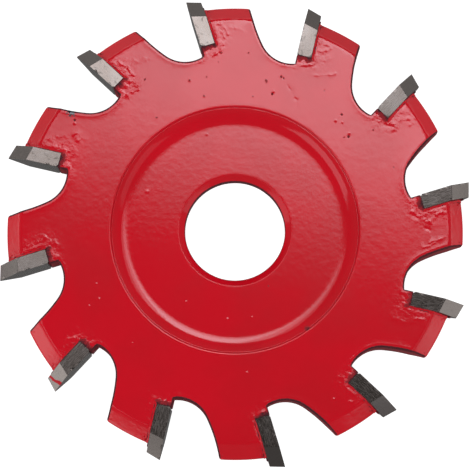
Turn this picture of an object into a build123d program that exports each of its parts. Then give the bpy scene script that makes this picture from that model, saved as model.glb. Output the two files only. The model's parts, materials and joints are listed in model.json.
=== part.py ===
from build123d import *
from math import cos, degrees, radians, sin, sqrt, tan
import os

# Grooving saw blade: a turned steel disc with twelve milled teeth, each with a carbide tip
# brazed into a pocket. The tips and the rim taper to a V that cuts a 90 degree groove.
# Millimetres. The bore runs along Z, and the origin is at its centre, half way through the blade.

# Cutting circle
cutting_diameter = 120.0
tooth_count = 12
first_tooth_angle = 12.15  # turns the first cutting corner from +X towards +Y

# Carbide tips
tip_width = 10.5  # across the blade, face to face
tip_end_flat = 1.0  # left between the two bevels at the cutting end
tip_thickness = 3.65  # along the cutting direction
tip_length = 13.2  # down the rake face
tip_corner = 0.5  # chamfer at the foot of the rake face
hook_angle = 5.0  # rake face leans forward of the radius
relief_angle = 18.0  # cutting end falls away behind the cutting edge

# Braze between a tip and its pocket, with a bead along both sides of the blade
braze_gap = 0.3
bead_width = 0.9
bead_height = 0.4
bead_root = 0.2  # the bead is drawn this far into the body, then trimmed to its surface

# Blade body
body_thickness = 9.5
tip_reach = 3.0  # tips stand this far outside the tooth lands
rim_flat = 2.2  # left between the two rim bevels
heel_radius = 0.7

# Gullets, measured from the cutting corner of the tip behind each one
gullet_radius = 8.25
gullet_drop = 7.6  # down the rake face to the gullet's centre
gullet_lead = 2.45  # from the rake face forward to the gullet's centre
back_angle = 38.2  # from the rake face to the back of the tooth ahead, at the end of the round bottom
back_radius = 39.0  # the back goes on as a shallow hollow curve

# Dished centre, the same on both sides
dish_diameter = 62.2
dish_depth = 1.85
dish_wall_run = 4.7  # radial width of the curved wall
dish_lip_radius = 0.4

# Arbor hole
bore_diameter = 25.0
bore_chamfer = 1.5

# Sizes that follow from those above
cutting_radius = cutting_diameter / 2
land_radius = cutting_radius - tip_reach
body_half = body_thickness / 2
tip_half = tip_width / 2
tip_bevel = (tip_width - tip_end_flat) / 2
rim_bevel = (body_thickness - rim_flat) / 2
web_half = body_half - dish_depth
bore_radius = bore_diameter / 2
dish_radius = dish_diameter / 2
floor_radius = dish_radius - dish_wall_run
pocket_depth = tip_length + braze_gap
pocket_thickness = tip_thickness + braze_gap
clear_of_rim = cutting_diameter / 10  # how far the cuts run out past the cutting circle
tooth_pitch = 360 / tooth_count


def tooth_plane(index):
    """Plane at a tip's cutting corner: X runs out along the rake face, Y points forward."""
    corner_angle = radians(first_tooth_angle + index * tooth_pitch)
    rake_angle = corner_angle + radians(hook_angle)
    corner = (cutting_radius * cos(corner_angle), cutting_radius * sin(corner_angle), 0)
    return Plane(origin=corner, x_dir=(cos(rake_angle), sin(rake_angle), 0), z_dir=(0, 0, 1))


# Half section of the turned blank: bore, web, dished wall, side face, bevel and rim
with BuildSketch(Plane.XZ) as blank_section:
    with BuildLine():
        Polyline(
            (bore_radius, 0),
            (bore_radius, web_half - bore_chamfer),
            (bore_radius + bore_chamfer, web_half),
            (floor_radius, web_half),
        )
        TangentArc((floor_radius, web_half), (dish_radius, body_half), tangent=(1, 0))
        Polyline(
            (dish_radius, body_half),
            (land_radius - rim_bevel, body_half),
            (land_radius, rim_flat / 2),
            (land_radius, 0),
            (bore_radius, 0),
        )
    make_face()
    lip = blank_section.vertices().sort_by_distance((dish_radius, 0, body_half))[0]
    fillet(lip, dish_lip_radius)
    mirror(about=Plane.XZ)

# One gullet: a round bottom that runs out along the hollow back of the tooth ahead
back_direction = Vector(cos(radians(back_angle)), sin(radians(back_angle)))
back_normal = Vector(-sin(radians(back_angle)), cos(radians(back_angle)))
gullet_centre = Vector(-gullet_drop, gullet_lead)
gullet_foot = Vector(-gullet_drop - sqrt(gullet_radius**2 - gullet_lead**2), 0)
gullet_floor = gullet_centre + Vector(-gullet_radius, 0)
gullet_back = gullet_centre + back_normal * gullet_radius
back_sweep = degrees((gullet_drop + clear_of_rim) / back_radius)
with BuildSketch(tooth_plane(0)) as gullet:
    with BuildLine():
        ThreePointArc(gullet_foot, gullet_floor, gullet_back)
        back = JernArc(gullet_back, back_direction, back_radius, -back_sweep)
        Polyline(back @ 1, (clear_of_rim, 0), gullet_foot)
    make_face()

# One pocket, open to the gullet in front of the tip and to the rim
with BuildSketch(tooth_plane(0)) as pocket:
    with Locations((-pocket_depth, -pocket_thickness)):
        Rectangle(pocket_depth + clear_of_rim, pocket_thickness, align=(Align.MIN, Align.MIN))

# Outline of the toothed disc. The heels are rounded before the pockets open the front corners.
with BuildSketch() as toothed_outline:
    Circle(land_radius)
    with PolarLocations(0, tooth_count):
        add(gullet.sketch, mode=Mode.SUBTRACT)
    fillet(toothed_outline.vertices().group_by(SortBy.DISTANCE)[-1], heel_radius)
    with PolarLocations(0, tooth_count):
        add(pocket.sketch, mode=Mode.SUBTRACT)

with BuildPart() as blade_body:
    extrude(toothed_outline.sketch, amount=body_half, both=True)
    revolve(blank_section.sketch, axis=Axis.Z, mode=Mode.INTERSECT)

# Tip seen from the side of the blade: rake face along the top, cutting end sloped for relief
tip_heel = (-tip_thickness * tan(radians(relief_angle)), -tip_thickness)
tip_points = [
    (0, 0),
    (-tip_length + tip_corner, 0),
    (-tip_length, -tip_corner),
    (-tip_length, -tip_thickness),
    tip_heel,
]


def make_tip(index):
    """Carbide tip: a slab as wide as the groove, with its cutting end bevelled from both sides."""
    with BuildPart() as tip:
        with BuildSketch(tooth_plane(index)):
            with BuildLine():
                Polyline(*tip_points, close=True)
            make_face()
        extrude(amount=tip_half, both=True)
        cutting_end = tip.faces().sort_by(SortBy.DISTANCE)[-1]
        chamfer(cutting_end.edges().filter_by(Axis.Z, reverse=True), tip_bevel)
    return tip


# Behind the tip the braze runs out past the land, to the ridge where the rim bevels would meet
ridge_radius = land_radius + rim_flat / 2
with BuildSketch(Plane.XZ) as ridged_section:
    with BuildLine():
        Polyline(
            (bore_radius, body_half),
            (land_radius - rim_bevel, body_half),
            (ridge_radius, 0),
            (bore_radius, 0),
            close=True,
        )
    make_face()
    mirror(about=Plane.XZ)

# The bead runs round the foot of the tip, up its back and down the rim bevel
axis_drop = cutting_radius * cos(radians(hook_angle))
axis_offset = cutting_radius * sin(radians(hook_angle)) + tip_thickness
bevel_top = sqrt((land_radius - rim_bevel) ** 2 - axis_offset**2) - axis_drop
bevel_foot = sqrt(land_radius**2 - axis_offset**2) - axis_drop
bead_points = [
    (-tip_length, -tip_corner, 0),
    (-tip_length, -tip_thickness, 0),
    (bevel_top, -tip_thickness, 0),
    (bevel_foot, -tip_thickness, -rim_bevel),
]


def make_braze(index):
    """Braze: a thin angle behind and under the tip, with a bead on each side of the blade."""
    side_plane = tooth_plane(index).offset(body_half)
    bead_start = side_plane.from_local_coords(bead_points[0])
    with BuildPart() as braze:
        with BuildSketch(tooth_plane(index)):
            with Locations((-pocket_depth, -pocket_thickness)):
                Rectangle(pocket_depth + clear_of_rim, braze_gap, align=(Align.MIN, Align.MIN))
                Rectangle(braze_gap, pocket_thickness, align=(Align.MIN, Align.MIN))
        extrude(amount=body_half, both=True)
        revolve(ridged_section.sketch, axis=Axis.Z, mode=Mode.INTERSECT)
        with BuildLine(side_plane):
            Polyline(*bead_points)
        with BuildSketch(Plane(bead_start, x_dir=side_plane.x_dir, z_dir=-side_plane.y_dir)):
            with BuildLine():
                Polyline(
                    (0, -bead_root),
                    (-bead_width, -bead_root),
                    (-bead_width, 0),
                    (0, bead_height),
                    close=True,
                )
            make_face()
        sweep(transition=Transition.RIGHT)
        mirror(about=Plane.XY)
        add(blade_body.part, mode=Mode.SUBTRACT)
    return braze


tips = [make_tip(index) for index in range(tooth_count)]
brazes = [make_braze(index) for index in range(tooth_count)]

os.makedirs("parts", exist_ok=True)
blade_body.part.label = "blade_body"
export_step(blade_body.part, "parts/blade_body.step")
for number, (tip, braze) in enumerate(zip(tips, brazes), start=1):
    tip.part.label = f"carbide_tip_{number:02d}"
    export_step(tip.part, f"parts/carbide_tip_{number:02d}.step")
    braze.part.label = f"braze_joint_{number:02d}"
    export_step(braze.part, f"parts/braze_joint_{number:02d}.step")
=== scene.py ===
import bmesh
import bpy
import json
from math import acos, atan2, cos, degrees, exp, hypot, pi, radians, sin, sqrt, tan
from mathutils import Matrix, Vector, geometry, kdtree, noise


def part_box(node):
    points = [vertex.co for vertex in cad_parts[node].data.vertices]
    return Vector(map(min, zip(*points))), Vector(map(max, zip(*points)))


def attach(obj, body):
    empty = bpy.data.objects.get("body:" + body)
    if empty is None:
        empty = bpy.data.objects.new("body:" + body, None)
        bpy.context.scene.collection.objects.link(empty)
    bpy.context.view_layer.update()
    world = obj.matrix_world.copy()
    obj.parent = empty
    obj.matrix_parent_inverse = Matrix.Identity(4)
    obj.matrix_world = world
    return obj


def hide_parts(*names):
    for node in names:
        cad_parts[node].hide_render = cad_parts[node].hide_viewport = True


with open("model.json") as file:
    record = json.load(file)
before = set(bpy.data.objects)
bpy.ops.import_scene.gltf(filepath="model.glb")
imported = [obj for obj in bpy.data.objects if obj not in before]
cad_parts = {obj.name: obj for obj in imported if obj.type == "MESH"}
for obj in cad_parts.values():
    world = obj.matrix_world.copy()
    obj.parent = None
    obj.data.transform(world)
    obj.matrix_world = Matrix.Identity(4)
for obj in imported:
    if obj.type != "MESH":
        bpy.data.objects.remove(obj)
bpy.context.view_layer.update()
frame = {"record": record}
mm = 0.001
noise.seed_set(3)     # the same wrinkles in the paint every time

# Sizes that come with the frame, in millimetres
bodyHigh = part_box("blade_body")[1] / mm
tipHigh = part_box("carbide_tip_01")[1] / mm
boreRadius = frame["record"]["mounts"][0]["dims"]["r_mm"]
halfBody = bodyHigh.z
halfTip = tipHigh.z
landRadius = bodyHigh.x

blade = {
    "teeth": 12,
    "firstTooth": 12.15,        # degrees from +X to the first cutting corner
    "cuttingRadius": 60.0,
    "hook": 5.0,                # rake face leans forward of the radius
    "rimBevel": 3.65,
    "gulletRadius": 8.25,
    "gulletDrop": 7.6,          # from the cutting corner down the rake face to the gullet's centre
    "gulletLead": 2.45,         # from the rake face forward to it
    "backAngle": 38.2,          # the tooth's back where the round bottom ends
    "backRadius": 39.0,
    "heelRadius": 0.7,
    "dishRadius": 31.1,
    "dishDepth": 1.85,
    "dishWallRun": 4.7,
    "boreChamfer": 1.5,
    "behind": 18.0,             # degrees behind its cutting corner that belong to a tooth
}
bevelRadius = landRadius - blade["rimBevel"]     # the rim bevel starts here

tip = {
    "thickness": 3.65,            # along the cutting direction
    "length": 13.2,
    "footCorner": 0.5,
    "relief": 18.0,               # the cutting end falls away behind the edge
    "bevel": 4.75,                # of each flank of the V, measured across the faces
    "sideRelief": 3.2,            # the sides close in towards the back
    "brazeGap": 0.3,
    "edge": 0.05,                 # ground edges are broken this much
    "nick": 0.07,                 # deepest chip along an edge
    "nickGrain": 0.9,             # chips follow each other more closely with a higher number
    "nickFrom": 0.15,             # and there are fewer of them with this one higher
    "grain": 0.45,                # spacing of the points along the edges
    "smeared": 8,                 # number of the tip with paint on its end
}

print("stage: camera")
shot = {
    "distance": 0.5664,
    "tilt": 7.8,                # degrees away from straight above
    "azimuth": -87.4,
    "roll": 0.21,
    "lens": 173.1,
    "aimDown": 0.00084,         # the blade's centre stands this far above the middle of the picture
}


def addCamera():
    tilt, turn = radians(shot["tilt"]), radians(shot["azimuth"])
    away = Vector((sin(tilt) * cos(turn), sin(tilt) * sin(turn), cos(tilt)))
    upHint = Vector((-sin(radians(shot["roll"])), cos(radians(shot["roll"])), 0))
    right = upHint.cross(away).normalized()
    up = away.cross(right)
    place = away * shot["distance"]
    away = (place + up * shot["aimDown"]).normalized()
    up = away.cross(right)
    cam = bpy.data.objects.new("camera", bpy.data.cameras.new("camera"))
    cam.data.lens = shot["lens"]
    cam.matrix_world = Matrix.Translation(place) @ Matrix((right, up, away)).transposed().to_4x4()
    bpy.context.scene.collection.objects.link(cam)
    bpy.context.scene.camera = cam


addCamera()

print("stage: lights and floor")


def newMaterial(name):
    mat = bpy.data.materials.new(name)
    mat.use_nodes = True
    return mat, mat.node_tree, mat.node_tree.nodes["Principled BSDF"]


def addNode(tree, kind, **values):
    node = tree.nodes.new("ShaderNode" + kind)
    for name, value in values.items():
        setattr(node, name, value)
    return node


def noiseNode(tree, coords, scale, detail=2.0, distortion=0.0):
    node = addNode(tree, "TexNoise")
    node.inputs["Scale"].default_value = scale
    node.inputs["Detail"].default_value = detail
    node.inputs["Distortion"].default_value = distortion
    tree.links.new(coords, node.inputs["Vector"])
    return node.outputs["Fac"]


def rangeNode(tree, value, low, high, toLow=0.0, toHigh=1.0):
    node = addNode(tree, "MapRange", interpolation_type="SMOOTHSTEP")
    limits = {"From Min": low, "From Max": high, "To Min": toLow, "To Max": toHigh}
    for socket, number in limits.items():
        node.inputs[socket].default_value = number
    tree.links.new(value, node.inputs["Value"])
    return node.outputs["Result"]


def mathNode(tree, operation, a, b):
    node = addNode(tree, "Math", operation=operation)
    for socket, value in zip(node.inputs, (a, b)):
        if isinstance(value, float):
            socket.default_value = value
        else:
            tree.links.new(value, socket)
    return node.outputs["Value"]


def mixColours(tree, share, a, b):
    node = addNode(tree, "Mix", data_type="RGBA")
    for socket, value in zip((node.inputs[0], node.inputs[6], node.inputs[7]), (share, a, b)):
        if isinstance(value, tuple):
            socket.default_value = (*value, 1)
        elif isinstance(value, float):
            socket.default_value = value
        else:
            tree.links.new(value, socket)
    return node.outputs[2]


def bumpNode(tree, height, distance, before=None):
    node = addNode(tree, "Bump")
    node.inputs["Distance"].default_value = distance
    tree.links.new(height, node.inputs["Height"])
    if before:
        tree.links.new(before, node.inputs["Normal"])
    return node.outputs["Normal"]


def attributeNode(tree, name, output="Fac"):
    return addNode(tree, "Attribute", attribute_name=name).outputs[output]


softboxes = {
    # azimuth from +X, elevation, distance, width, height, brightness, and what it lights
    "keyHigh": (78, 64, 0.94, 0.27, 0.31, 1.9, "all"),
    "keyCore": (78, 68, 0.97, 0.28, 0.36, 1.6, "all"),
    "keyWide": (78, 68, 1.00, 0.60, 0.44, 1.4, "gloss"),
    "keyEdge": (78, 68, 1.03, 0.95, 0.52, 1.0, "gloss"),
    "left": (208, 50, 1.0, 0.55, 0.45, 1.3, "all"),
    "leftLow": (203, 7, 1.0, 0.80, 0.20, 0.65, "all"),
    "leftTable": (205, -24, 1.0, 1.20, 0.55, 1.5, "paint"),
    "right": (338, 48, 1.0, 0.50, 0.45, 0.4, "all"),
    "rightLow": (325, 7, 1.0, 0.80, 0.20, 0.55, "all"),
    "rightTable": (332, -24, 1.0, 0.80, 0.55, 1.5, "paint"),
}
surround = {
    "backdrop": (0.93, 0.93, 0.93),   # behind the floor, for the camera only
    "tint": (0.97, 0.98, 1.05),       # of the softboxes
    "room": 0.92,                     # even light from all round
    "overhead": 0.10,                 # what the gloss mirrors, straight above
    "walls": 0.23,
    "tableFar": 1.9,                  # the pale table, mirrored at a grazing angle
    "tableNear": 0.32,
    "tableRight": 0.75,               # share of the table's brightness that is left on the right
    "tableUnder": 0.05,               # and straight below
    "darkSide": 285,                  # azimuth where the table is in shade
}


def addSoftbox(name, azimuth, elevation, distance, width, height, brightness, lights):
    light = bpy.data.lights.new(name, "AREA")
    light.shape = "RECTANGLE"
    light.size = width
    light.size_y = height
    light.energy = brightness * pi * width * height     # the gloss then mirrors this brightness
    light.color = surround["tint"]
    box = bpy.data.objects.new(name, light)
    turn, rise = radians(azimuth), radians(elevation)
    box.location = Vector((cos(turn) * cos(rise), sin(turn) * cos(rise), sin(rise))) * distance
    box.rotation_euler = box.location.to_track_quat("Z", "Y").to_euler()
    box.visible_camera = False
    box.visible_diffuse = lights != "gloss"
    box.visible_glossy = lights != "paint"
    bpy.context.scene.collection.objects.link(box)


def addWorld():
    world = bpy.data.worlds.new("studio")
    world.use_nodes = True
    tree = world.node_tree
    tree.nodes.clear()
    path = addNode(tree, "LightPath")
    split = addNode(tree, "SeparateXYZ")
    tree.links.new(addNode(tree, "TexCoord").outputs["Generated"], split.inputs["Vector"])
    across, along, high = (split.outputs[axis] for axis in "XYZ")
    walls = rangeNode(tree, high, 0.35, 0.9, surround["walls"], surround["overhead"])
    table = rangeNode(tree, high, -0.11, -0.06, surround["tableNear"], surround["tableFar"])
    darkSide = radians(surround["darkSide"])
    towards = mathNode(tree, "ADD", mathNode(tree, "MULTIPLY", across, cos(darkSide)),
                       mathNode(tree, "MULTIPLY", along, sin(darkSide)))
    for direction, *values in (
        (high, -0.012, 0.03, 1.0, 0.0),                        # the table ends at the horizon
        (across, -0.5, 0.5, 1.0, surround["tableRight"]),
        (towards, 0.55, 0.95, 1.0, 0.0),
        (high, -0.5, -0.2, surround["tableUnder"], 1.0),
    ):
        table = mathNode(tree, "MULTIPLY", table, rangeNode(tree, direction, *values))
    mirrored = addNode(tree, "Background")
    tree.links.new(mathNode(tree, "ADD", walls, table), mirrored.inputs["Strength"])
    room = addNode(tree, "Background")
    room.inputs["Strength"].default_value = surround["room"]
    backdrop = addNode(tree, "Background")
    backdrop.inputs["Color"].default_value = (*surround["backdrop"], 1)
    ambient, mix = addNode(tree, "MixShader"), addNode(tree, "MixShader")
    for shader, ray, plain, seen in (
        (ambient, "Is Glossy Ray", room.outputs["Background"], mirrored.outputs["Background"]),
        (mix, "Is Camera Ray", ambient.outputs["Shader"], backdrop.outputs["Background"]),
    ):
        tree.links.new(path.outputs[ray], shader.inputs["Fac"])
        tree.links.new(plain, shader.inputs[1])
        tree.links.new(seen, shader.inputs[2])
    tree.links.new(mix.outputs["Shader"], addNode(tree, "OutputWorld").inputs["Surface"])
    bpy.context.scene.world = world


floorLook = {
    "radius": 3.0,                    # metres
    "grey": (0.3, 0.3, 0.3),
    "roughness": 0.9,
    "glow": 0.97,                     # lit from within, so that no shade falls on it
}


def addFloor():
    bpy.ops.mesh.primitive_circle_add(vertices=96, radius=floorLook["radius"], fill_type="NGON",
                                      location=(0, 0, -halfTip * mm))
    floor = bpy.context.object
    floor.name = "floor"
    mat, _, shader = newMaterial("floor")
    shader.inputs["Base Color"].default_value = (*floorLook["grey"], 1)
    shader.inputs["Roughness"].default_value = floorLook["roughness"]
    shader.inputs["Emission Color"].default_value = (1, 1, 1, 1)
    shader.inputs["Emission Strength"].default_value = floorLook["glow"]
    floor.data.materials.append(mat)
    floor.visible_diffuse = False
    floor.visible_glossy = False
    floor.visible_shadow = False


for name, values in softboxes.items():
    addSoftbox(name, *values)
addWorld()
addFloor()
bpy.context.scene.view_settings.view_transform = "Standard"

print("stage: outline")


def circlePoint(centre, radius, angle):
    return Vector((centre.x + radius * cos(angle), centre.y + radius * sin(angle)))


def arc(centre, radius, start, end, step):
    count = max(2, round(abs(end - start) * radius / step))
    return [circlePoint(centre, radius, start + (end - start) * i / count)
            for i in range(count + 1)]


def straight(start, end, step):
    count = max(1, round((end - start).length / step))
    return [start.lerp(end, i / count) for i in range(count + 1)]


def toothFrame(number):
    # X runs out along the rake face from the cutting corner, Y points forward
    angle = radians(blade["firstTooth"] + number * 360 / blade["teeth"])
    corner = circlePoint(Vector((0, 0)), blade["cuttingRadius"], angle).to_3d()
    return Matrix.Translation(corner) @ Matrix.Rotation(angle + radians(blade["hook"]), 4, "Z")


paintEdge = {
    # radius that the paint leaves on each edge, in millimetres
    "land": 0.18,
    "pocket": 0.05,
    "seat": 0.22,
    "gullet": 0.32,
    "step": 0.5,                # spacing of the points along the outline
    "rise": (0, 22, 45, 68, 78, 90),         # loops of points at these degrees round the edge
    "flat": (0.2, 0.35, 0.5, 0.65, 0.8),     # and on the face, this far in from the edge
    "corner": 0.7,              # lower lets the loops reach further in at sharp corners, at most 1
}


def toothOutline():
    # one tooth from its heel to the next one's, with the edge radius at each point
    step = paintEdge["step"]
    hook, slope = radians(blade["hook"]), radians(blade["backAngle"])
    centre = Vector((-blade["cuttingRadius"] * cos(hook), blade["cuttingRadius"] * sin(hook)))
    depth, thick = tip["length"] + tip["brazeGap"], tip["thickness"] + tip["brazeGap"]
    gullet = Vector((-blade["gulletDrop"], blade["gulletLead"]))
    foot = Vector((gullet.x - sqrt(blade["gulletRadius"] ** 2 - gullet.y ** 2), 0))
    across = Vector((-sin(slope), cos(slope)))
    back = gullet + across * blade["gulletRadius"]
    bend = back - across * blade["backRadius"]
    # the heel's circle touches the hollow back and the land
    outer, inner = blade["backRadius"] + blade["heelRadius"], landRadius - blade["heelRadius"]
    span = (centre - bend).length
    line = (centre - bend) / span
    run = (outer ** 2 - inner ** 2 + span ** 2) / (2 * span)
    heel = bend + line * run + Vector((line.y, -line.x)) * sqrt(outer ** 2 - run ** 2)
    backAngle = atan2(*(heel - bend).yx)
    heelAngle = atan2(*(heel - centre).yx)
    pocketEnd = Vector((centre.x + sqrt(landRadius ** 2 - (thick + centre.y) ** 2), -thick))
    pieces = (
        ("land", arc(centre, landRadius, heelAngle - 2 * pi / blade["teeth"],
                     atan2(*(pocketEnd - centre).yx), step)),
        ("pocket", straight(pocketEnd, Vector((-depth, -thick)), step)),
        ("pocket", straight(Vector((-depth, -thick)), Vector((-depth, 0)), step)),
        ("seat", straight(Vector((-depth, 0)), foot, step)),
        ("gullet", arc(gullet, blade["gulletRadius"],
                       atan2(foot.y - gullet.y, foot.x - gullet.x) + 2 * pi, slope + pi / 2, step)),
        ("gullet", arc(bend, blade["backRadius"], slope + pi / 2, backAngle, step)),
        ("gullet", arc(heel, blade["heelRadius"], backAngle - pi, heelAngle, step / 2)),
    )
    return [(point, paintEdge[kind]) for kind, points in pieces for point in points[:-1]]


def wholeOutline():
    # points round the blade, with each one's edge radius and the way in from it
    points, softness = [], []
    for number in range(blade["teeth"]):
        turn = toothFrame(number)
        for point, soft in toothOutline():
            points.append((turn @ point.to_3d()).to_2d())
            softness.append(soft)
    count = len(points)
    for _ in range(2):     # the roundness changes gradually along the outline
        softness = [min(soft, (softness[i - 1] + soft + softness[(i + 1) % count]) / 3)
                    for i, soft in enumerate(softness)]
    inward = []
    for i in range(count):
        before = (points[i] - points[i - 1]).normalized()
        after = (points[(i + 1) % count] - points[i]).normalized()
        middle = (before + after).normalized()
        normal = Vector((-middle.y, middle.x))
        inward.append(normal / max(paintEdge["corner"], normal.dot(Vector((-after.y, after.x)))))
    return points, softness, inward


outline, softness, inward = wholeOutline()
outlineTree = kdtree.KDTree(len(outline))
for i, point in enumerate(outline):
    outlineTree.insert(point.to_3d(), i)
outlineTree.balance()


def edgeDistance(point):
    # from the outline to a point inside it
    _, near, gap = outlineTree.find(point.to_3d())
    for a, b in ((near - 1, near), (near, (near + 1) % len(outline))):
        start, end = outline[a], outline[b]
        share = min(1, max(0, (point - start).dot(end - start) / (end - start).length_squared))
        gap = min(gap, (point - start.lerp(end, share)).length)
    return gap


print("stage: painted blade")
face = {
    "ringRadius": 33.0,         # the turned centre ends here, and the toothed face begins
    "segments": 180,
    "bevelSoft": 0.38,          # roundness of the edge between face and rim bevel
    "bevelRows": (-0.5, -0.25, -0.08, 0.08, 0.25, 0.5),     # rows of points along that edge
    "bevelStep": 0.7,
    "rollWidth": 0.7,           # the paint thins towards every edge over this width
    "rollDrop": 0.025,
    "fatEdge": (0.88, 0.28, 0.020),  # and stands up in a low rim: place, half width, height
    "coarse": 1.5,              # spacing of the points on the open face
    "fine": 0.36,               # round the tips
    "fineReach": 2.6,           # how far from a tip the mesh is fine
    "stroke": 0.2,              # spacing of the points along a ridge
    "keepOff": 1.3,             # no loose point is closer to the outline than this
    "ridgeBend": 0.28,          # ridges wander this much
    "bendGrain": 0.9,
    "ridgeShare": 0.44,         # share of the heights in the list of ridges
    "ridgeReach": 1.8,          # a ridge ends this many half widths from its middle
    "ridgeUneven": 1.6,
    "unevenGrain": 1.3,
    "roughHeight": 0.05,        # of the uneven paint beside the tips
    "roughGrain": 0.9,
    "roughReach": 5.5,          # and how far from a tip it goes
    "speckReach": 1.5,          # a speck ends this many radii from its middle
}

# Ridges and bumps in the paint round each tip: start and end in the tooth's frame, half width and
# height, in millimetres. The key is the tooth's number. A height below zero is a dent or a scratch.
ridges = {
    1: ((-13.9, -0.8, -13.9, -3.2, 0.30, 0.10), (-14.0, -3.4, -11.6, -4.7, 0.30, 0.09),
        (-16.5, -3.4, -15.8, -4.0, 0.35, 0.09), (-15.2, -4.9, -14.5, -5.3, 0.35, 0.09),
        (-13.9, -6.3, -12.8, -7.3, 0.35, 0.10), (-10.8, -5.9, -9.2, -5.7, 0.35, 0.08),
        (-16.5, -4.6, -15.8, -5.2, 0.30, -0.08), (-14.3, -8.5, -13.7, -9.3, 0.40, -0.07),
        (-16.4, -13.0, -13.4, -12.6, 0.25, 0.04), (-14.5, -12.0, -10.5, -12.0, 0.25, 0.04)),
    2: ((-11.9, -3.8, -5.6, -4.0, 0.35, 0.06), (-15.0, -2.4, -14.4, -2.6, 0.35, 0.10),
        (-13.6, -3.2, -13.5, -4.0, 0.35, 0.10), (-13.4, -5.5, -13.4, -6.9, 0.35, 0.08),
        (-14.6, -6.3, -14.0, -7.1, 0.35, 0.05), (-15.1, -3.7, -14.4, -5.1, 0.60, -0.08),
        (-10.1, -7.6, -10.3, -8.9, 0.70, 0.05), (-8.0, -7.9, -9.3, -10.4, 0.35, 0.05)),
    3: ((-8.3, -4.1, -8.9, -6.5, 0.35, 0.08), (-11.4, -5.4, -10.3, -7.3, 0.40, 0.06),
        (-9.0, -7.0, -9.7, -8.0, 0.35, 0.05), (-14.5, -0.7, -14.2, -3.7, 0.60, -0.07),
        (-15.5, -2.0, -14.7, -4.3, 0.35, 0.09), (-13.3, -4.2, -12.5, -4.7, 0.30, 0.07),
        (-17.4, -5.7, -15.8, -10.5, 0.30, 0.04), (-13.2, -6.6, -12.1, -8.1, 0.70, 0.04),
        (-21.3, 0.6, -24.7, -2.5, 0.26, -0.035), (-24.3, -2.2, -26.2, -3.0, 0.26, -0.030)),
    4: ((-8.4, -5.1, -8.8, -7.1, 0.35, 0.06), (-9.9, -7.2, -11.9, -7.7, 0.30, 0.05),
        (-9.7, -5.3, -11.7, -5.0, 0.30, 0.06), (-10.9, -6.3, -12.6, -6.4, 0.25, 0.05),
        (-10.2, -8.5, -11.6, -10.8, 0.50, 0.04), (-14.9, -1.2, -14.9, -1.2, 0.45, 0.12),
        (-16.1, -2.2, -15.0, -5.4, 0.35, 0.09), (-13.1, -4.3, -14.0, -5.7, 0.35, 0.08)),
    5: ((-9.4, -5.9, -12.2, -6.4, 0.30, 0.08), (-12.2, -6.4, -14.6, -5.7, 0.25, 0.10),
        (-11.8, -5.2, -13.6, -5.3, 0.25, 0.07), (-14.1, -3.6, -15.2, -3.2, 0.35, -0.10),
        (-15.0, -3.9, -15.0, -3.9, 0.40, 0.10), (-14.8, -0.8, -17.2, -3.9, 0.80, -0.06),
        (-15.7, 0.8, -17.9, -4.1, 0.30, 0.10), (-12.4, -8.7, -14.4, -11.3, 0.60, 0.04)),
    6: ((-9.1, -4.2, -11.6, -5.3, 0.40, 0.07), (-12.3, -5.0, -12.3, -5.0, 0.30, 0.07),
        (-13.5, -5.2, -14.5, -4.6, 0.35, 0.10), (-15.5, -9.1, -17.1, -8.1, 0.80, 0.08),
        (-9.3, -6.5, -10.0, -6.4, 0.50, 0.05), (-11.1, -7.4, -11.1, -7.4, 0.30, 0.04),
        (-15.6, -1.7, -16.3, -3.0, 0.40, -0.07), (-14.9, 0.1, -15.2, -1.6, 0.30, 0.08)),
    7: ((-8.0, -4.8, -12.4, -4.9, 0.30, 0.07), (-13.8, -6.5, -14.9, -5.0, 0.50, 0.08),
        (-16.1, -5.0, -16.5, -4.0, 0.40, 0.06), (-13.6, -7.2, -14.1, -6.8, 0.40, 0.05),
        (-14.5, -2.4, -14.5, -0.8, 0.35, 0.09), (-15.4, -1.0, -15.8, 0.0, 0.35, 0.08),
        (-9.4, -5.7, -11.7, -6.0, 0.35, 0.04)),
    8: ((-11.6, -6.1, -13.1, -5.1, 0.35, 0.06), (-13.1, -5.1, -14.0, -3.3, 0.35, 0.08),
        (-14.2, -3.5, -14.3, -1.5, 0.30, 0.08), (-13.7, -0.9, -13.4, 0.1, 0.30, 0.07),
        (-15.8, -1.8, -15.5, -0.3, 0.40, -0.04)),
    9: ((-12.5, -4.3, -8.6, -4.3, 0.30, 0.08), (-8.6, -4.3, -4.8, -4.0, 0.30, 0.06),
        (-12.8, -5.1, -13.8, -3.8, 0.35, 0.07), (-14.2, -3.1, -14.1, -1.5, 0.40, 0.05),
        (-14.6, -1.0, -13.9, 0.0, 0.30, 0.07)),
    10: ((-12.6, -4.5, -9.1, -4.6, 0.35, 0.09), (-9.1, -4.6, -7.0, -4.2, 0.35, 0.09),
         (-7.0, -4.2, -4.5, -4.6, 0.30, 0.05), (-14.0, -4.7, -14.2, -3.7, 0.45, 0.06),
         (-14.3, -3.3, -14.0, -0.8, 0.35, 0.08), (-14.9, -1.8, -14.8, 0.0, 0.35, -0.06)),
    11: ((-13.4, -4.5, -11.5, -5.0, 0.35, 0.11), (-16.0, -3.8, -14.6, -3.4, 0.35, 0.05),
         (-14.4, -2.0, -13.0, -2.5, 0.30, 0.09), (-11.5, -5.0, -9.0, -5.1, 0.30, 0.06),
         (-10.1, -7.0, -9.5, -6.7, 0.30, 0.05), (-7.8, -8.4, -6.9, -6.1, 0.35, 0.05),
         (-8.6, -10.5, -7.1, -8.4, 0.30, 0.04)),
    12: ((-13.8, -3.0, -12.6, -4.6, 0.35, 0.10), (-12.6, -4.6, -9.3, -6.4, 0.30, 0.05),
         (-11.0, -6.5, -9.2, -6.3, 0.35, 0.07), (-16.7, -7.4, -14.0, -7.9, 0.60, 0.04),
         (-15.0, -2.0, -14.2, -2.7, 0.35, -0.10), (-15.0, -3.3, -13.6, -3.4, 0.30, 0.07)),
}

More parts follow.
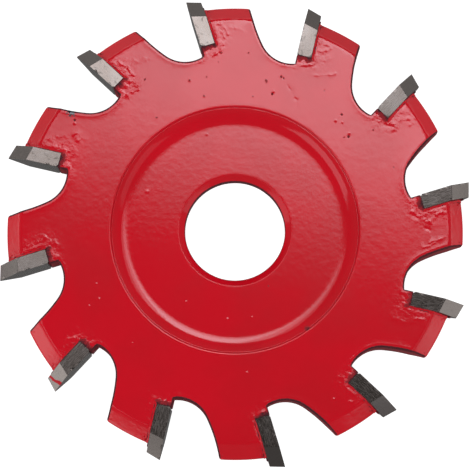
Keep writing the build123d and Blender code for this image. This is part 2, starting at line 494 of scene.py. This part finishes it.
# Specks under and in the paint of the side shown: place on the blade, radius, height and darkness
specks = (
    (-3.6, 44.7, 0.25, 0.03, 0.55), (3.3, 44.7, 0.2, 0.03, 0.55), (-11.5, 37.6, 0.3, 0.03, 0.55),
    (-7.8, 33.6, 0.3, 0.02, 0.5), (4.4, 33.6, 0.2, 0.02, 0.5), (7.8, 37.5, 0.45, 0.02, 0.55),
    (11.5, 38.6, 0.3, -0.03, 0.9), (12.1, 38.2, 0.2, -0.03, 0.9), (9.2, 34.2, 0.3, -0.05, 0.9),
    (9.6, 34.8, 0.3, 0.05, 0), (26.6, 29.0, 0.25, -0.03, 0.9), (25.1, 27.4, 0.3, 0.07, 0.1),
    (26.8, 27.0, 0.25, 0.06, 0), (28.5, 24.2, 0.3, 0.07, 0), (28.3, 23.4, 0.3, -0.05, 0.9),
    (27.2, 23.2, 0.2, -0.02, 0.55), (26.6, 16.2, 0.3, 0.07, 0.1), (39.6, 15.7, 0.2, 0, 0.5),
    (34.5, 25.1, 0.25, 0, 0.5), (22.3, 35.1, 0.2, -0.02, 0.5), (-22.7, 37.8, 0.3, 0, 0.55),
    (-19.7, 28.1, 0.25, 0, 0.5), (-22.0, 9.7, 0.4, 0.04, 0), (-7.1, 24.2, 0.25, 0.05, 0),
    (-7.2, 38.5, 0.2, 0, 0.55), (3.2, 44.6, 0.2, 0, 0.5), (-4.3, 42.3, 0.2, 0, 0.5),
    (-40.2, 27.4, 0.25, -0.04, 0.9), (-40.2, 26.6, 0.3, 0.06, 0), (17.9, -24.7, 0.5, -0.05, 0.95),
    (-1.8, -22.2, 0.25, 0.05, 0), (4.3, -21.8, 0.2, 0.05, 0), (3.1, -35.7, 0.25, 0.06, 0),
    (8.4, -14.0, 0.25, 0, 0.55), (24.5, -42.1, 0.25, 0.06, 0), (-33.6, -17.5, 0.25, 0.05, 0),
    (-36.0, -19.3, 0.25, 0.05, 0), (-34.3, -13.8, 0.25, 0.05, 0), (-25.2, -28.5, 0.2, 0.04, 0),
    (-12.1, -17.9, 0.2, 0.04, 0),
)


def softMin(a, b, width):
    share = max(width - abs(a - b), 0) / width
    return min(a, b) - share * share * width / 4


def plainFace(radius):
    # height of the face and the rim bevel without anything in the paint
    return softMin(halfBody, halfBody + landRadius - blade["rimBevel"] - radius, face["bevelSoft"])


def mound(reach, end):
    # 1 in the middle, 0 at its end
    return 0.5 + 0.5 * cos(pi * reach / end)


def faceHeight(point, gap, side):
    # height of the painted face outside the dish, gap being the distance to the outline
    height = plainFace(point.length)
    if gap < face["rollWidth"]:
        height -= face["rollDrop"] * (1 - gap / face["rollWidth"]) ** 2
    rim, width, rise = face["fatEdge"]
    if abs(gap - rim) < 2.5 * width and point.length < bevelRadius:
        height += rise * exp(-((gap - rim) / width) ** 2)
    number, local = toothPlace(point)
    spot = Vector((local.x, local.y, 5.0 * number + side))     # each tooth has a pattern of its own
    bent = local + noise.noise_vector(spot * face["bendGrain"]).to_2d() * face["ridgeBend"]
    for x0, y0, x1, y1, width, rise in ridgesOf(number, side):
        reach = strokeDistance(bent, x0, y0, x1, y1) / width
        if reach < face["ridgeReach"]:
            uneven = 1 + face["ridgeUneven"] * noise.noise(spot * face["unevenGrain"])
            height += face["ridgeShare"] * rise * uneven * mound(reach, face["ridgeReach"])
    height += speckHeight(point, side)
    rough = roughness(local)
    if rough > 0:
        grain = face["roughGrain"]
        spot = Vector((local.x * grain, local.y * grain, 7.3 * number + 31 * side))
        height += face["roughHeight"] * rough * noise.noise(spot)
    return height


def speckHeight(point, side):
    height = 0
    for x, y, radius, rise, _ in specks if side > 0 else ():
        reach = hypot(point.x - x, point.y - y) / radius
        if reach < face["speckReach"]:
            height += rise * mound(reach, face["speckReach"])
    return height


def speckPoints(side):
    # rings of loose points round each speck
    return [Vector((x, y)) + circlePoint(Vector((0, 0)), radius * share, turn * pi / 4 + share)
            for x, y, radius, _, _ in (specks if side > 0 else ())
            for share in (0.01, 0.4, 0.8, 1.2, 1.6, 2.2, 3.0) for turn in range(8)]


def toothPlace(point):
    # number of the tooth that a point belongs to, and its place in that tooth's frame
    turn = degrees(atan2(point.y, point.x)) - blade["firstTooth"] + blade["behind"]
    number = int(turn // (360 / blade["teeth"])) % blade["teeth"]
    return number, (toothFrames[number].inverted() @ point.to_3d()).to_2d()


def ridgesOf(number, side):
    # the hidden side has the same kind of lumps in another order
    return ridges[number + 1] if side > 0 else ridges[(number * 5 + 3) % blade["teeth"] + 1]


def strokeDistance(point, x0, y0, x1, y1):
    start, run = Vector((x0, y0)), Vector((x1 - x0, y1 - y0))
    share = min(1, max(0, (point - start).dot(run) / run.length_squared)) if run.length else 0
    return (point - start - run * share).length


def roughness(local):
    # 1 beside a tip, falling to 0 a few millimetres away
    away = hypot(max(0, -tip["length"] - local.x), max(0, -tip["thickness"] - local.y, local.y))
    return max(0, 1 - away / face["roughReach"]) if local.x < 0 else 0


toothFrames = [toothFrame(number) for number in range(blade["teeth"])]


def filletedPath(corners, steps):
    # a line through (radius, height, rounding) corners
    path = []
    for i, (r, z, rounding) in enumerate(corners):
        here = Vector((r, z))
        if not rounding:
            path.append(here)
            continue
        before = (Vector(corners[i - 1][:2]) - here).normalized()
        after = (Vector(corners[i + 1][:2]) - here).normalized()
        half = acos(max(-1, min(1, before.dot(after)))) / 2
        cut = rounding / tan(half)
        middle = here + (before + after).normalized() * rounding / sin(half)
        start, end = here + before * cut - middle, here + after * cut - middle
        swing = start.angle_signed(end)
        for k in range(steps + 1):
            path.append(middle + Matrix.Rotation(-swing * k / steps, 2) @ start)
    return path


centreEdge = {
    # what the paint makes of the turned centre's edges, in millimetres
    "chamferSlope": 0.943,      # drop over run, a little flatter than 45 degrees
    "boreRound": 0.15,
    "boreRow": 0.22,            # one row of points this far on to the chamfer
    "chamferRound": 0.3,
    "footShare": 0.88,          # of the largest radius that fits the dish's curved wall
    "lipInset": 0.1,
    "lipRound": 0.65,
    "margin": 0.6,              # flat rows outside the chamfer and the lip
    "wallMargin": 3.2,          # and inside the wall
    "steps": 8,                 # faces round each rounding
}


def centreProfile():
    # (radius, height) from the middle of the bore to the toothed face
    web = halfBody - blade["dishDepth"]
    wallRadius = (blade["dishWallRun"] ** 2 + blade["dishDepth"] ** 2) / (2 * blade["dishDepth"])
    slope = 2 * atan2(blade["dishDepth"], blade["dishWallRun"])
    wallFoot = blade["dishRadius"] - blade["dishDepth"] / tan(slope)
    chamfer, fall, row = blade["boreChamfer"], centreEdge["chamferSlope"], centreEdge["boreRow"]
    return filletedPath((
        (boreRadius, 0, 0),
        (boreRadius, web - chamfer * fall, centreEdge["boreRound"]),
        (boreRadius + row, web - (chamfer - row) * fall, 0),
        (boreRadius + chamfer, web, centreEdge["chamferRound"]),
        (boreRadius + chamfer + centreEdge["margin"], web, 0),
        (wallFoot - centreEdge["wallMargin"], web, 0),
        (wallFoot, web, wallRadius * centreEdge["footShare"]),
        (blade["dishRadius"] - centreEdge["lipInset"], halfBody, centreEdge["lipRound"]),
        (blade["dishRadius"] + centreEdge["margin"], halfBody, 0),
        (face["ringRadius"], halfBody, 0),
    ), centreEdge["steps"])


def gridPoints(reach, size):
    # even triangles over a square
    span, rowGap = int(reach / size) + 1, 0.866
    return [Vector(((i + 0.5 * (j % 2)) * size, j * size * rowGap))
            for i in range(-span, span + 1) for j in range(-span, span + 1)]


def tipPoints():
    # a fine grid over each tip and the paint round it
    points, size, reach = [], face["fine"], face["fineReach"]
    left, low = -tip["length"] - 1.3 * reach, -tip["thickness"] - 2.3 * reach
    for turn in toothFrames:
        for i in range(int((tip["length"] + 2 * reach) / size)):
            for j in range(int((tip["thickness"] + 2.6 * reach) / size)):
                x, y = left + i * size, low + (j + 0.5 * (i % 2)) * size
                if x < -3:     # the cutting end stands clear of the paint
                    points.append((turn @ Vector((x, y, 0))).to_2d())
    return points


def ridgePoints(side):
    # a strip of points along each ridge
    points, size = [], face["stroke"]
    for number, turn in enumerate(toothFrames):
        for x0, y0, x1, y1, width, _ in ridgesOf(number, side):
            start, end = Vector((x0, y0)), Vector((x1, y1))
            along = (end - start).normalized() if end != start else Vector((1, 0))
            across = Vector((-along.y, along.x))
            for i in range(-3, int((end - start).length / size) + 4):
                for j in range(-3, 4):
                    spot = start + along * (i + 0.5 * (j % 2)) * size + across * j * width / 2.2
                    points.append((turn @ spot.to_3d()).to_2d())
    return points


def flatPoints(side):
    # loose points that the toothed face is meshed on
    points = []
    count = round(2 * pi * bevelRadius / face["bevelStep"])
    for row in face["bevelRows"]:
        points += [circlePoint(Vector((0, 0)), bevelRadius + row, 2 * pi * i / count)
                   for i in range(count)]
    points += gridPoints(landRadius, face["coarse"]) + tipPoints()
    points += ridgePoints(side) + speckPoints(side)
    return [point for point in points
            if face["ringRadius"] + 0.5 < point.length < landRadius - 0.1
            and edgeDistance(point) > face["keepOff"] and insideOutline(point)]


def insideOutline(point):
    _, near, _ = outlineTree.find(point.to_3d())
    return (point - outline[near]).dot(inward[near]) > 0


def fillFace(mesh, outer, inner, marks, side, heightAt):
    # triangles between two loops through the marked points
    coords = [v.co.to_2d() for v in [*outer, *inner]] + marks
    count, ringCount = len(outer), len(inner)
    edges = [(i - 1 if i else count - 1, i) for i in range(count)]
    edges += [(count + (i - 1) % ringCount, count + i) for i in range(ringCount)]
    spots, _, triangles, origins, _, _ = geometry.delaunay_2d_cdt(coords, edges, [], 1, 1e-6)
    hole = min(v.co.to_2d().length for v in inner) * cos(pi / ringCount)
    verts = []
    for spot, origin in zip(spots, origins):
        if origin and origin[0] < count + ringCount:
            verts.append(outer[origin[0]] if origin[0] < count else inner[origin[0] - count])
        else:
            verts.append(mesh.verts.new((spot.x, spot.y, side * heightAt(spot))))
    for triangle in triangles:
        middle = sum((spots[i] for i in triangle), Vector((0, 0))) / 3
        if middle.length > hole:
            corners = [verts[i] for i in triangle]
            mesh.faces.new(corners if side > 0 else corners[::-1])


def joinRows(mesh, rows, side=1):
    # four-sided faces between neighbouring closed rows of points
    for a, b in zip(rows, rows[1:]):
        for i in range(len(a)):
            quad = (a[i - 1], a[i], b[i], b[i - 1])
            mesh.faces.new(quad if side > 0 else quad[::-1])


def addEdge(mesh, side):
    # rounded edge of the toothed outline: loops from the wall up on to the face
    steps = [(1 - cos(radians(rise)), 0, 1 - sin(radians(rise))) for rise in paintEdge["rise"]]
    steps += [(1, inset, 0) for inset in paintEdge["flat"]]
    loops = []
    for share, inset, drop in steps:
        loop = []
        for point, soft, normal in zip(outline, softness, inward):
            gap = soft * share + inset
            spot = point + normal * gap
            height = faceHeight(spot, gap, side) - soft * drop
            loop.append(mesh.verts.new((spot.x, spot.y, side * height)))
        loops.append(loop)
    joinRows(mesh, loops, side)
    return loops


def addCentre(mesh, side, bore):
    # turned centre, whose first row in the middle of the bore is the same for both sides
    profile, count = centreProfile(), face["segments"]
    rows = [bore] if bore else []
    for r, z in profile[len(rows):]:
        ring = (circlePoint(Vector((0, 0)), r, 2 * pi * i / count) for i in range(count))
        rows.append([mesh.verts.new((*spot, side * z)) for spot in ring])
    # the widest step is the dish's flat floor, with the specks on it
    floor = max(range(len(profile) - 1), key=lambda k: profile[k + 1][0] - profile[k][0])
    joinRows(mesh, rows[:floor + 1], side)
    joinRows(mesh, rows[floor + 1:], side)
    low, high = profile[floor][0] + 0.3, profile[floor + 1][0] - 0.3
    marks = [point for point in speckPoints(side) + gridPoints(high, face["coarse"])
             if low < point.length < high]
    fillFace(mesh, rows[floor + 1], rows[floor], marks, side,
             lambda spot: halfBody - blade["dishDepth"] + speckHeight(spot, side))
    return rows[0], rows[-1]


def addWalls(mesh, top, bottom):
    # walls of the gullets, seats and lands
    rows = [top]
    for share in (0.75, 0.5, 0.25):
        rows.append([mesh.verts.new((v.co.x, v.co.y, w.co.z + (v.co.z - w.co.z) * share))
                     for v, w in zip(top, bottom)])
    joinRows(mesh, [*rows, bottom])


def buildBlade():
    mesh = bmesh.new()
    walls, bore = [], None
    for side in (1, -1):
        loops = addEdge(mesh, side)
        bore, ring = addCentre(mesh, side, bore)
        fillFace(mesh, loops[-1], ring, flatPoints(side), side,
                 lambda spot: faceHeight(spot, edgeDistance(spot), side))
        walls.append(loops[0])
    addWalls(mesh, *walls)
    return finishMesh(mesh, "painted_blade")


def finishMesh(mesh, name):
    bmesh.ops.recalc_face_normals(mesh, faces=mesh.faces)
    bmesh.ops.scale(mesh, vec=(mm, mm, mm), verts=mesh.verts)
    for facet in mesh.faces:
        facet.smooth = True
    data = bpy.data.meshes.new(name)
    mesh.to_mesh(data)
    mesh.free()
    piece = bpy.data.objects.new(name, data)
    bpy.context.scene.collection.objects.link(piece)
    return piece


# real specks and the chip, and painted shade on the gullets' walls, their edges and the bore
wearAndShade = {
    "wall": 0.66,                     # painted shade on the gullets' walls
    "edge": 0.95,                     # and painted shade along their rounded edges
    "edgeWidth": 0.34,
    "bore": 0.95,
    "boreWidth": 0.15,                # the painted shade in the hole reaches this far on to its chamfer
    "speckReach": 1.4,                # a speck's darkness ends this many radii from its middle
    "speckFade": 1.4,                 # a higher number gives a crisper end
    "chip": (-41.0, 29.4, 1.0),       # bare patch on the gullet's edge: place and radius
    "chipFoot": 3.2,                  # height where it starts
}


def markPaint(piece, marksAt):
    # real grime and specks, painted shade, bare metal and roughness at every point, for its
    # material
    marks = zip(*(marksAt(v.co / mm) for v in piece.data.vertices))
    for name, values in zip(("dirtAndShade", "bare", "rough"), marks):
        piece.data.attributes.new(name, "FLOAT", "POINT").data.foreach_set("value", values)


def bladeMarks(place):
    flat, side = place.to_2d(), 1 if place.z > 0 else -1
    dirtAndShade = bare = 0.0
    for x, y, radius, _, dark in specks if side > 0 else ():
        reach = hypot(flat.x - x, flat.y - y) / radius
        if reach < wearAndShade["speckReach"]:
            dirtAndShade = max(dirtAndShade, dark * min(1, (wearAndShade["speckReach"] - reach) * wearAndShade["speckFade"]))
    # painted shade on the gullets' walls and along their rounded edges
    if face["ringRadius"] < flat.length < landRadius - 0.3:
        gap = edgeDistance(flat)
        if gap < 0.02 and abs(place.z) < halfBody - 0.45:
            dirtAndShade = max(dirtAndShade, wearAndShade["wall"])
        elif gap < wearAndShade["edgeWidth"]:
            dirtAndShade = max(dirtAndShade, wearAndShade["edge"])
    # painted shade in the hole and on the foot of its chamfer
    if flat.length < boreRadius + wearAndShade["boreWidth"]:
        dirtAndShade = wearAndShade["bore"]
    x, y, radius = wearAndShade["chip"]
    reach = hypot(flat.x - x, flat.y - y) / radius
    if side > 0 and place.z > wearAndShade["chipFoot"]:
        # steel in the middle, and grime round it
        bare = max(0, 1 - 0.5 * reach)
        dirtAndShade = max(dirtAndShade, 0.5 * max(0, 1.5 - reach)) if reach > 0.6 else dirtAndShade
    rough = roughness(toothPlace(flat)[1]) if flat.length > face["ringRadius"] else 0
    return min(1, dirtAndShade), bare, rough


paintedBlade = buildBlade()
markPaint(paintedBlade, bladeMarks)
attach(paintedBlade, "root")
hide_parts("blade_body")
print("  painted blade:", len(paintedBlade.data.polygons), "faces")

print("stage: carbide tips")


def tipCorners():
    length, thick, bevel = tip["length"], tip["thickness"], tip["bevel"]
    slope, lean = tan(radians(tip["relief"])), tan(radians(tip["sideRelief"]))
    topEdge = -bevel / cos(radians(tip["relief"]))
    backEdge = topEdge * (1 - lean * thick / bevel) - thick * slope     # keeps the bevel flat
    side = ((-length + tip["footCorner"], 0), (-length, -tip["footCorner"]), (-length, -thick),
            (backEdge, -thick), (topEdge, 0))
    end = ((0, 0), (-thick * slope, -thick))
    return [(x, y, z) for x, y in side for z in (halfTip + y * lean, -halfTip - y * lean)] + [
        (x, y, z) for x, y in end for z in (halfTip - bevel, bevel - halfTip)]


def buildTip(number):
    mesh = bmesh.new()
    for corner in tipCorners():
        mesh.verts.new(corner)
    bmesh.ops.convex_hull(mesh, input=mesh.verts)
    bmesh.ops.dissolve_limit(mesh, angle_limit=0.01, verts=mesh.verts, edges=mesh.edges)
    bmesh.ops.bevel(mesh, geom=mesh.edges, offset=tip["edge"], segments=2, profile=0.5,
                    affect="EDGES")
    bmesh.ops.triangulate(mesh, faces=mesh.faces)
    for _ in range(5):     # rounds of halving, until no edge is long
        long = [edge for edge in mesh.edges if edge.calc_length() > tip["grain"] * 2]
        bmesh.ops.subdivide_edges(mesh, edges=long, cuts=1)
        bmesh.ops.triangulate(mesh, faces=mesh.faces)
    # small chips, only where the surface bends over an edge
    mesh.normal_update()
    centre = Vector((-tip["length"] / 2, -tip["thickness"] / 2, 0))
    for vert in mesh.verts:
        turn = max((vert.normal.angle(facet.normal) for facet in vert.link_faces), default=0)
        if turn > 0.2:
            chip = noise.noise(vert.co * tip["nickGrain"] + Vector((17.0 * number, 0, 0)))
            chip = max(0, chip - tip["nickFrom"])
            vert.co += (centre - vert.co).normalized() * tip["nick"] * chip * 2
    along = mesh.verts.layers.float_vector.new("alongTip")
    for vert in mesh.verts:
        vert[along] = vert.co + Vector((0, 0, 20 * number))     # each tip has its own stains
    ground = mesh.faces.layers.float.new("ground")
    for facet in mesh.faces:
        facet[ground] = 1.0 if facet.normal.x > 0.4 else 0.0
    bmesh.ops.transform(mesh, matrix=toothFrames[number], verts=mesh.verts)
    piece = finishMesh(mesh, f"ground_tip_{number + 1:02d}")
    piece.data.shade_flat()
    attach(piece, "root")
    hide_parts(f"carbide_tip_{number + 1:02d}")
    return piece


print("stage: braze")
braze = {
    "footWidth": 1.8,           # of the bead on the blade's face, under the foot and along the back
    "backWidth": 0.8,
    "footFrom": 1.5,            # a bead at least this wide gets the painted shade of the foot
    "height": 0.40,
    "hollow": 1.4,              # 1 for a straight slope, more for a hollow one
    "sink": 0.06,               # its far edge ends this deep under the face
    "tuck": 0.03,               # and its near edge this far under the tip
    "clear": 0.02,              # kept below the surfaces that it could break through
    "unevenWidth": 0.35,        # shares of the width, height and painted shade
    "unevenHeight": 0.45,
    "unevenShade": 0.5,
    "lump": 0.18,               # height of the small lumps on it, as a share of its own
    "lumpSize": 1.1,
    "step": 0.25,
    "rows": 6,
    "root": 0.35,               # the bead reaches this far into the blade
    "fin": 0.05,                # unevenness of the braze behind the tip, outside the land
    "footDark": (0.8, 0.65, 0.55, 0.4, 0.2, 0.0),     # painted shade over the bead, from the tip outwards; backDark along the back
    "backDark": (0.45, 0.15, 0.0, 0.0, 0.0, 0.0),
    "filmDark": 0.85,           # of the braze behind a tip
}


def alongBack(radius, behind):
    # place in the tooth's frame where a line this far behind the rake face crosses a circle
    drop = blade["cuttingRadius"] * cos(radians(blade["hook"]))
    aside = blade["cuttingRadius"] * sin(radians(blade["hook"])) + behind
    return sqrt(radius ** 2 - aside ** 2) - drop


def beadStations():
    # points along the foot and the back of a tip, with the way out from it and the bead's width
    foot, back = -tip["length"], -tip["thickness"]
    corner, landEnd = Vector((foot, back)), Vector((alongBack(landRadius, tip["thickness"]), back))
    wide, narrow = braze["footWidth"], braze["backWidth"]
    stations = [(point, Vector((-1, 0)), wide)
                for point in straight(Vector((foot, -0.2)), corner, braze["step"])]
    for turn in (0.3, 0.6, 0.9, 1.2):     # round the corner
        width = wide + (narrow - wide) * turn / 2.2
        stations.append((corner, Vector((-cos(turn), -sin(turn))), width))
    for point in straight(corner, landEnd, braze["step"]):
        share = max(0, 1 - (point.x - foot) / 1.8)
        stations.append((point, Vector((0, -1)), narrow + (wide - narrow) * 0.3 * share))
    return stations


def addTube(mesh, rings, darkness):
    # closed skin round a row of rings with the same number of points
    rows = [[mesh.verts.new(point) for point in ring] for ring in rings]
    shade = mesh.verts.layers.float["dirtAndShade"]
    for row, shades in zip(rows, darkness):
        for vert, dark in zip(row, shades):
            vert[shade] = dark
    joinRows(mesh, rows)
    mesh.faces.new(rows[0])
    mesh.faces.new(rows[-1][::-1])


def addBead(mesh, number, side):
    rings, shades = [], []
    for i, (base, out, plain) in enumerate(beadStations()):
        spot = Vector((i * braze["step"] / braze["lumpSize"], 3.7 * number, 11.0 * side))
        width = plain * (1 + braze["unevenWidth"] * noise.noise(spot) * 2)
        uneven = noise.noise(spot + Vector((0, 50, 0)))
        height = braze["height"] * (1 + braze["unevenHeight"] * uneven * 2)
        ring = []
        # over the bead, and back inside the blade
        for share in [k / braze["rows"] for k in range(braze["rows"] + 1)] + [1, 0]:
            point = base + out * (share * width - braze["tuck"])
            level = plainFace((toothFrames[number] @ point.to_3d()).to_2d().length)
            if len(ring) > braze["rows"]:
                top = level - braze["root"]
            else:
                lump = noise.noise(Vector((point.x * 1.7, point.y * 1.7, 9.1 * number + side)))
                lump *= braze["lump"] * height
                rise = height * (1 - share) ** braze["hollow"] + lump * sin(pi * share)
                top = min(level + (rise - braze["sink"] * share), halfTip - braze["clear"])
            ring.append(Vector((point.x, point.y, side * top)))
        rings.append(ring)
        # painted shade: darkest against the tip, fading out over the bead; the root inside the
        # blade is hidden
        spread = braze["footDark"] if plain > braze["footFrom"] else braze["backDark"]
        patch = 1 + braze["unevenShade"] * noise.noise(spot * 0.8)
        shades.append([1.0] + [dark * patch for dark in spread] + [0.0, 1.0])
    addTube(mesh, rings, shades)


def addFilm(mesh, number):
    # the thin braze behind the tip, out to where the rim bevels would meet, and under its foot
    foot, back, gap, clear = -tip["length"], -tip["thickness"], tip["brazeGap"], braze["clear"]
    end = alongBack(bevelRadius + halfBody - 0.15, tip["thickness"] + gap)
    rings = []
    for point in straight(Vector((foot - gap, back)), Vector((end, back)), braze["step"]):
        radius = (toothFrames[number] @ point.to_3d()).length
        high = min(halfBody, halfBody + bevelRadius - radius) - clear
        rough = braze["fin"] * noise.noise(Vector((point.x * 1.3, 5.3 * number, 2)))
        out = gap - clear + (rough if radius > landRadius + 0.2 else 0)
        rings.append([Vector((point.x, back + y, z)) for y, z in (
            (clear, high), (-out, high), (-out * 1.05, 0), (-out, -high), (clear, -high))])
    addTube(mesh, rings, [[braze["filmDark"]] * 5] * len(rings))
    high = halfBody - clear
    rings = [[Vector((foot + x, point.y, z)) for x, z in (
              (clear, high), (-gap, high), (-gap, -high), (clear, -high))]
             for point in straight(Vector((foot, back)), Vector((foot, -0.04)), braze["step"])]
    addTube(mesh, rings, [[braze["filmDark"]] * 4] * len(rings))


def buildBraze(number):
    mesh = bmesh.new()
    mesh.verts.layers.float.new("dirtAndShade")
    mesh.verts.layers.float.new("bare")
    rough = mesh.verts.layers.float.new("rough")
    addFilm(mesh, number)
    for side in (1, -1):
        addBead(mesh, number, side)
    for vert in mesh.verts:
        vert[rough] = 1.0
    bmesh.ops.transform(mesh, matrix=toothFrames[number], verts=mesh.verts)
    piece = finishMesh(mesh, f"braze_bead_{number + 1:02d}")
    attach(piece, "root")
    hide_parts(f"braze_joint_{number + 1:02d}")
    return piece


groundTips = [buildTip(number) for number in range(blade["teeth"])]
beads = [buildBraze(number) for number in range(blade["teeth"])]
for piece in (groundTips[0], beads[0]):
    print(" ", piece.name + ":", len(piece.data.polygons), "faces")

print("stage: materials")


paintLook = {
    "red": (0.60, 0.003, 0.013),
    "deep": (0.535, 0.002, 0.010),    # where it lies thicker
    "shade": (0.26, 0.002, 0.008),    # dark red in the real pits and specks, and painted shade beside the tips and on the gullets' walls
    # near black: real pits and the dark braze behind the tips, and painted shade on the edges, in
    # the bore and against the tips
    "dirtAndShade": (0.055, 0.005, 0.010),
    "steel": (0.085, 0.085, 0.088),   # bare metal in the chip
    "gloss": (0.08, 0.12),            # roughness, from the smoothest places to the dullest
    "dull": 0.85,                     # more roughness in the dark places
    "broadGrain": 60,                 # grains are higher for finer patterns
    "gritGrain": 2600,
    "crustGrain": 1500,
    "peelGrain": 750,
    "peel": 0.000014,                 # height of the orange peel, in metres
    "crust": 0.000055,                # of the rough paint beside the tips
}


def paintMaterial():
    mat, tree, shader = newMaterial("red_paint")
    place = addNode(tree, "TexCoord").outputs["Object"]
    dirtAndShade, bare, rough = (attributeNode(tree, name) for name in ("dirtAndShade", "bare", "rough"))
    broad = noiseNode(tree, place, paintLook["broadGrain"], 3)
    grit = noiseNode(tree, place, paintLook["gritGrain"], 2)
    crust = noiseNode(tree, place, paintLook["crustGrain"], 2.5, 0.8)
    peel = noiseNode(tree, place, paintLook["peelGrain"], 1.5)
    colour = mixColours(tree, rangeNode(tree, broad, 0.35, 0.7),
                        paintLook["red"], paintLook["deep"])
    # the attribute gives real specks and grime, and painted shade; dark and bare places have ragged
    # ends
    ragged = mathNode(tree, "ADD", dirtAndShade, rangeNode(tree, grit, 0.3, 0.7, -0.18, 0.18))
    shade = rangeNode(tree, ragged, 0.2, 0.5)
    colour = mixColours(tree, shade, colour, paintLook["shade"])
    dark = rangeNode(tree, ragged, 0.6, 0.95)
    colour = mixColours(tree, dark, colour, paintLook["dirtAndShade"])
    ragged = mathNode(tree, "ADD", bare, rangeNode(tree, grit, 0.3, 0.7, -0.25, 0.25))
    metal = rangeNode(tree, ragged, 0.45, 0.55)
    tree.links.new(mixColours(tree, metal, colour, paintLook["steel"]), shader.inputs["Base Color"])
    tree.links.new(metal, shader.inputs["Metallic"])
    dull = mathNode(tree, "ADD", rangeNode(tree, broad, 0.3, 0.7, *paintLook["gloss"]),
                    mathNode(tree, "MULTIPLY", shade, paintLook["dull"]))
    tree.links.new(dull, shader.inputs["Roughness"])
    normal = bumpNode(tree, peel, paintLook["peel"])
    crusty = mathNode(tree, "MULTIPLY", crust, rough)
    tree.links.new(bumpNode(tree, crusty, paintLook["crust"], normal), shader.inputs["Normal"])
    return mat


carbideLook = {
    "flank": (0.138, 0.115, 0.100),   # the sides, dulled by brazing
    "flankPale": (0.200, 0.176, 0.160),
    "ground": (0.232, 0.204, 0.190),  # the fresh bevels at the cutting end
    "stain": (0.045, 0.040, 0.034),
    "smear": (0.30, 0.012, 0.018),    # red paint on the end of one tip
    "smearFrom": (-2.75, -2.6),       # where it fades in and out, in millimetres down the rake face
    "smearTo": (-2.05, -1.85),
    "smearLean": 0.15,
    "roughness": (0.20, 0.30),
    "groundRoughness": 0.55,          # share of that on the fresh bevels
    "grinding": 0.000004,             # depth of the grinding lines, in metres
    "lineStretch": (0.7, 5.0, 5.0),   # the lines run along the tip
}


def smearBand(tree, along, blotch):
    # 1 in a wavy band across the tip's end
    split = addNode(tree, "SeparateXYZ")
    tree.links.new(along, split.inputs["Vector"])
    wavy = mathNode(tree, "ADD", split.outputs["X"],
                    mathNode(tree, "MULTIPLY", split.outputs["Y"], carbideLook["smearLean"]))
    wavy = mathNode(tree, "ADD", wavy, rangeNode(tree, blotch, 0.2, 0.8, -0.25, 0.25))
    return mathNode(tree, "MULTIPLY", rangeNode(tree, wavy, *carbideLook["smearFrom"]),
                    rangeNode(tree, wavy, *carbideLook["smearTo"], 1.0, 0.0))


def carbideMaterial(name, smeared):
    mat, tree, shader = newMaterial(name)
    along, ground = attributeNode(tree, "alongTip", "Vector"), attributeNode(tree, "ground")
    mapping = addNode(tree, "Mapping")
    mapping.inputs["Scale"].default_value = carbideLook["lineStretch"]
    tree.links.new(along, mapping.inputs["Vector"])
    lines = noiseNode(tree, mapping.outputs["Vector"], 1.0, 3)
    tone = noiseNode(tree, along, 0.16, 2)
    blotch = noiseNode(tree, along, 0.75, 4, 0.6)
    shade = mathNode(tree, "ADD", rangeNode(tree, lines, 0.3, 0.7, -0.2, 0.2), tone)
    colour = mixColours(tree, rangeNode(tree, shade, 0.2, 0.9),
                        carbideLook["flank"], carbideLook["flankPale"])
    stain = rangeNode(tree, blotch, 0.55, 0.80, 0.0, 0.55)
    colour = mixColours(tree, stain, colour, carbideLook["stain"])
    colour = mixColours(tree, ground, colour, carbideLook["ground"])
    if smeared:
        colour = mixColours(tree, smearBand(tree, along, blotch), colour, carbideLook["smear"])
    tree.links.new(colour, shader.inputs["Base Color"])
    shader.inputs["Metallic"].default_value = 1
    dull = mathNode(tree, "ADD", rangeNode(tree, lines, 0.3, 0.7, *carbideLook["roughness"]),
                    mathNode(tree, "MULTIPLY", stain, 0.2))
    dull = mathNode(tree, "MULTIPLY", dull,
                    rangeNode(tree, ground, 0.0, 1.0, 1.0, carbideLook["groundRoughness"]))
    tree.links.new(dull, shader.inputs["Roughness"])
    tree.links.new(bumpNode(tree, lines, carbideLook["grinding"]), shader.inputs["Normal"])
    return mat


paint = paintMaterial()
for piece in [paintedBlade, *beads]:
    piece.data.materials.append(paint)
carbide = carbideMaterial("carbide", False)
smearedCarbide = carbideMaterial("smeared_carbide", True)
for number, piece in enumerate(groundTips, start=1):
    piece.data.materials.append(smearedCarbide if number == tip["smeared"] else carbide)
